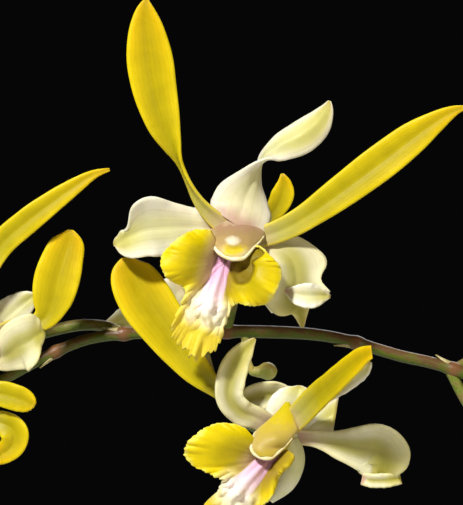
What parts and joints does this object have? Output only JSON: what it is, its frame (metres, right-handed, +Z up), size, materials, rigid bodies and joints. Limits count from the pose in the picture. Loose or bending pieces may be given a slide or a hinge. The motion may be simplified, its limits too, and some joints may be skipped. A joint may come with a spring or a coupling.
{
  "type": "potted dendrobium orchid",
  "caption": "Potted dendrobium orchid in a clay pot of bark: leafy canes and two arching flower stems with yellow horn-like petals, cream sepals and ruffled yellow lips.",
  "frame": {"origin": "centre of the pot's underside, on the surface it stands on", "axes": "+Z up, the side that the picture sees faces -Y, +X to the picture's right"},
  "size_m": [0.3685, 0.2706, 0.5955],
  "materials": {
    "terracotta": "matt fired clay",
    "bark": "rough bark chips",
    "leaf": "satin leathery leaf",
    "flower_stem": "satin purple-brown over green",
    "sepal": "waxy cream",
    "petal": "waxy golden yellow",
    "lip": "waxy yellow, white and pink along the middle",
    "column": "waxy pinkish beige"
  },
  "bodies": {
    "root": {"bark": "bark", "bloom_a_column": "column", "bloom_a_lip": "lip", "bloom_a_petals": "petal", "bloom_a_sepals": "sepal", "bloom_b_column": "column", "bloom_b_lip": "lip", "bloom_b_petals": "petal", "bloom_b_sepals": "sepal", "bloom_c_column": "column", "bloom_c_lip": "lip", "bloom_c_petals": "petal", "bloom_c_sepals": "sepal", "bloom_d_column": "column", "bloom_d_lip": "lip", "bloom_d_petals": "petal", "bloom_d_sepals": "sepal", "bloom_e_column": "column", "bloom_e_lip": "lip", "bloom_e_petals": "petal", "bloom_e_sepals": "sepal", "bloom_f_column": "column", "bloom_f_lip": "lip", "bloom_f_petals": "petal", "bloom_f_sepals": "sepal", "bloom_g_column": "column", "bloom_g_lip": "lip", "bloom_g_petals": "petal", "bloom_g_sepals": "sepal", "bloom_i_column": "column", "bloom_i_lip": "lip", "bloom_i_petals": "petal", "bloom_i_sepals": "sepal", "bloom_j_column": "column", "bloom_j_lip": "lip", "bloom_j_petals": "petal", "bloom_j_sepals": "sepal", "bloom_k_column": "column", "bloom_k_lip": "lip", "bloom_k_petals": "petal", "bloom_k_sepals": "sepal", "flower_stem_back": "flower_stem", "flower_stem_main": "flower_stem", "leafy_cane_back": "leaf", "leafy_cane_front": "leaf", "leafy_cane_left": "leaf", "leafy_cane_main": "leaf", "leafy_cane_young": "leaf", "pot": "terracotta"}
  },
  "joints": []
}
